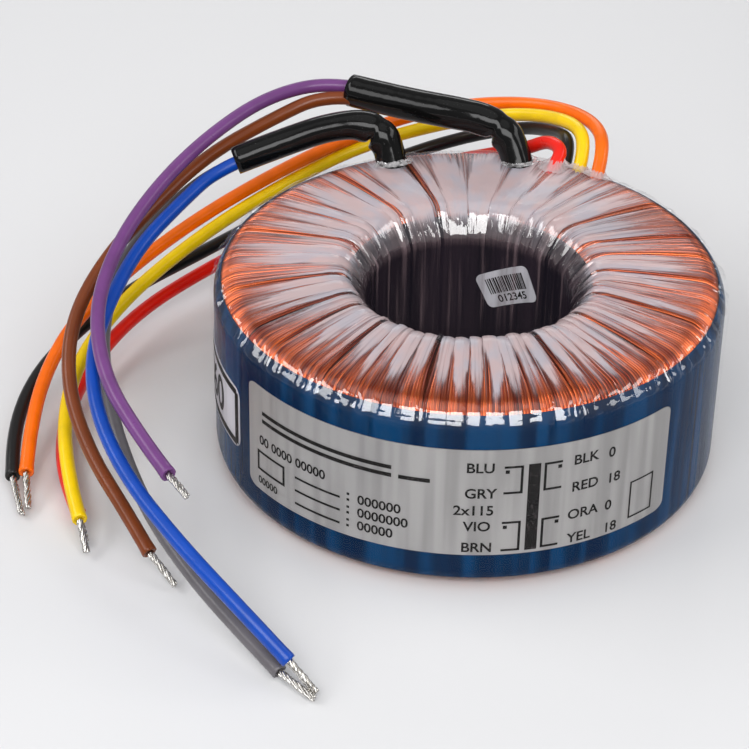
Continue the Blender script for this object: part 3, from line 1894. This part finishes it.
def dress_nodes(finishes: dict[str, bpy.types.Material]) -> None:
    """Gives CAD nodes that stay their finishes.

    Args:
        finishes: the finish of each node, by name.
    """
    for name, material in finishes.items():
        node = frame["nodes"][name]
        node.data.materials.clear()
        node.data.materials.append(material)


class Prints:
    """Print on the three labels: ruled fields, a winding diagram and plain digits."""

    def __init__(self, film: RingSection) -> None:
        """Chooses where each label's print lies.

        Args:
            film: the film's section.
        """
        outside, inside = film.wall - 0.395 * MM, film.bore + 0.34 * MM
        self.ink = Ink("label_ink", (0.010, 0.009, 0.009)).material()
        self.rating = LabelPrint(outside, -5.1, 18.2 * MM)
        self.side = LabelPrint(outside, -79.0, 17.7 * MM)
        self.serial = LabelPrint(inside, 155.5, 21.8 * MM, inside=True, tilt=25.0)

    def build(self) -> None:
        """Prints all labels."""
        self._fields()
        self._diagram()
        self._side()
        self._serial()

    def _fields(self) -> None:
        """Heading bar, ruled fields and plain digits at the left of the rating label."""
        boxes = [(-36.8, 3.7, 27.2, 0.8), (-36.8, 5.3, 27.2, 0.8), (-8.4, 3.7, 5.4, 0.8)]
        boxes += [(-38.2, -6.6, 0.5, 4.2), (-31.4, -6.6, 0.5, 4.2)]
        boxes += [(-38.2, -6.6, 7.3, 0.5), (-38.2, -2.9, 7.3, 0.5)]
        digits = [("00000", -38.0, -9.3, 2.1), ("00 0000 00000", -37.6, -0.9, 2.6)]
        for bottom, figures in ((-3.5, "000000"), (-6.2, "0000000"), (-8.9, "00000")):
            boxes += [(-28.4, bottom, 9.5, 0.45)]
            boxes += [(-17.6, bottom, 0.5, 0.5), (-17.6, bottom + 1.2, 0.5, 0.5)]
            digits.append((figures, -15.6, bottom, 2.6))
        self.rating.bars("rating_fields", boxes, self.ink)
        self.rating.words("rating_digits", digits, self.ink)

    def _diagram(self) -> None:
        """Winding diagram at the right of the rating label."""
        size = 2.75
        words = [
            ("BLU", 2.9, 6.3, size), ("GRY", 2.8, 1.1, size), ("2x115", 1.0, -2.4, size),
            ("VIO", 2.8, -5.7, size), ("BRN", 2.5, -10.1, size), ("BLK", 21.3, 6.0, size),
            ("0", 28.0, 5.6, size), ("RED", 21.2, 0.5, size), ("18", 28.0, 0.2, size),
            ("ORA", 20.8, -5.2, size), ("0", 28.0, -5.4, size), ("YEL", 21.0, -10.2, size),
            ("18", 28.0, -10.2, size),
        ]
        self.rating.words("rating_words", words, self.ink)
        boxes = [(13.4, -10.2, 2.1, 17.8)]
        for bottom, top in ((1.8, 7.5), (-10.1, -3.9)):
            for post, rung, dot in ((12.1, 9.3, 9.5), (16.1, 16.3, 18.5)):
                boxes += [(post, bottom, 0.45, top - bottom), (rung, top - 0.45, 3.0, 0.45)]
                boxes += [(rung, bottom, 3.0, 0.45), (dot, top - 1.5, 0.7, 0.7)]
        boxes += [(33.2, -9.2, 5.4, 0.35), (33.2, -1.8, 5.4, 0.35)]
        boxes += [(33.2, -9.2, 0.35, 7.7), (38.3, -9.2, 0.35, 7.7)]
        self.rating.bars("winding_diagram", boxes, self.ink)

    def _side(self) -> None:
        """Border and digits of the side label."""
        boxes = [(-13.2, 4.6, 26.4, 1.3), (-13.2, -5.9, 26.4, 1.3)]
        boxes += [(-13.85, -5.3, 1.35, 10.6), (12.5, -5.3, 1.35, 10.6)]
        digits = [("50", -11.4, -3.3, 9.5), ("60", -2.6, -3.3, 9.5)]
        self.side.bars("side_border", boxes, self.ink)
        self.side.words("side_digits", digits, self.ink)

    def _serial(self) -> None:
        """Bars and digits of the small label in the hole."""
        dice = random.Random(11)
        boxes, left, right = [], -3.9, 3.6
        while left < right:
            width = dice.choice([0.12, 0.2, 0.32])
            boxes.append((left, -0.9, width, 3.3))
            left += width + dice.choice([0.1, 0.16, 0.22])
        self.serial.bars("serial_bars", boxes, self.ink)
        self.serial.words("serial_digits", [("012345", -2.9, -2.8, 2.1)], self.ink)


def build_ring() -> None:
    """Turns, film, tapes and labels."""
    low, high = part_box("outer_film_wrap")
    bore = next(mount for mount in frame["record"]["mounts"] if mount["kind"] == "bore")
    outside = RingSection(bore["dims"]["r_mm"] * MM, high.x, low.z, high.z)
    copper = Enamel("enamelled_copper", (0.80, 0.165, 0.042), (0.21, 0.022, 0.005)).material()
    milk, tint, dusk = (0.66, 0.52, 0.53), (0.56, 0.53, 0.59), (0.30, 0.21, 0.23)
    clear = ClearFilm("clear_film", milk, tint, dusk).material()
    turns = Winding(outside.sunk(wall=0.78 * MM, end=0.65 * MM, bore=0.73 * MM))
    add_piece("winding_turns", turns.mesh(), copper, ["secondary_winding_2"])
    log.info("winding turns: %d", turns.turns)
    film = FilmWrap(outside)
    add_piece("film_pleats", film.mesh(), clear, ["outer_film_wrap"])
    log.info("film pleats: %d", len(film.pleats))
    blue = PolyesterTape("blue_tape", (0.0004, 0.012, 0.044), (0.0016, 0.041, 0.122))
    lining = PolyesterTape("lining_tape", (0.012, 0.010, 0.016), (0.022, 0.016, 0.024))
    silver = LabelStock("silver_label", (0.375, 0.365, 0.36), metallic=0.3, roughness=0.32)
    white = LabelStock("white_label", (0.62, 0.61, 0.66)).material()
    steel = Metal("core_steel", (0.40, 0.41, 0.43), (0.30, 0.31, 0.33), 0.35)
    inner_copper = Metal("inner_copper", (0.50, 0.11, 0.045), (0.35, 0.07, 0.03), 0.4, 0.5)
    inner_film = CloudyFilm("inner_film", milk).material()
    tin = Metal("splice_tin", (0.62, 0.60, 0.57), (0.50, 0.48, 0.45), 0.3).material()
    inner_windings = ("primary_winding_1", "primary_winding_2", "secondary_winding_1")
    dress_nodes(
        {
            "edge_tape": blue.material(),
            "bore_tape": lining.material(),
            "rating_label": silver.material(),
            "side_label": white,
            "serial_label": white,
            "core": steel.material(),
            "core_wrap": inner_film,
            "barrier_film": inner_film,
            **dict.fromkeys(inner_windings, inner_copper.material()),
            "primary_splices": tin,
            "secondary_splices": tin,
        }
    )
    Prints(outside).build()
    log.info("label prints")


def build_leads() -> None:
    """Sleeves, leads and the film drawn up round them."""
    tin = Metal("tinned_strands", (0.72, 0.70, 0.67), (0.50, 0.48, 0.45), 0.16).material()
    rubber = ShrinkRubber("shrink_rubber", (0.004, 0.004, 0.004)).material()
    on_leads = {
        "blue": [Sleeve("sleeve_1").build(rubber), frame["nodes"]["primary_splices"]],
        "violet": [Sleeve("sleeve_2", mouth_short=3.15 * MM).build(rubber)],
        "orange": [frame["nodes"]["secondary_splices"]],
    }
    for name, colour, length in LEADS:
        Lead(name, Insulation(name, colour), length, on_it=on_leads.get(name, [])).build(tin)
        log.info("lead %s", name)
    crumpled = Crumpled("crumpled_film", (0.70, 0.68, 0.69)).material()
    cloudy = CloudyFilm("cloudy_film", (0.66, 0.58, 0.59)).material()
    for shapes, material in ((GATHERS, crumpled), (CUFFS, cloudy)):
        for shape in shapes:
            FilmGather(*shape).build(material)
    log.info("film gathers: %d, cuffs: %d", len(GATHERS), len(CUFFS))


def main() -> None:
    """Builds the scene."""
    logging.basicConfig(level=logging.INFO, format="%(message)s")
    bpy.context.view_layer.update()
    Studio().build()
    build_leads()
    build_ring()


if __name__ == "__main__":
    main()
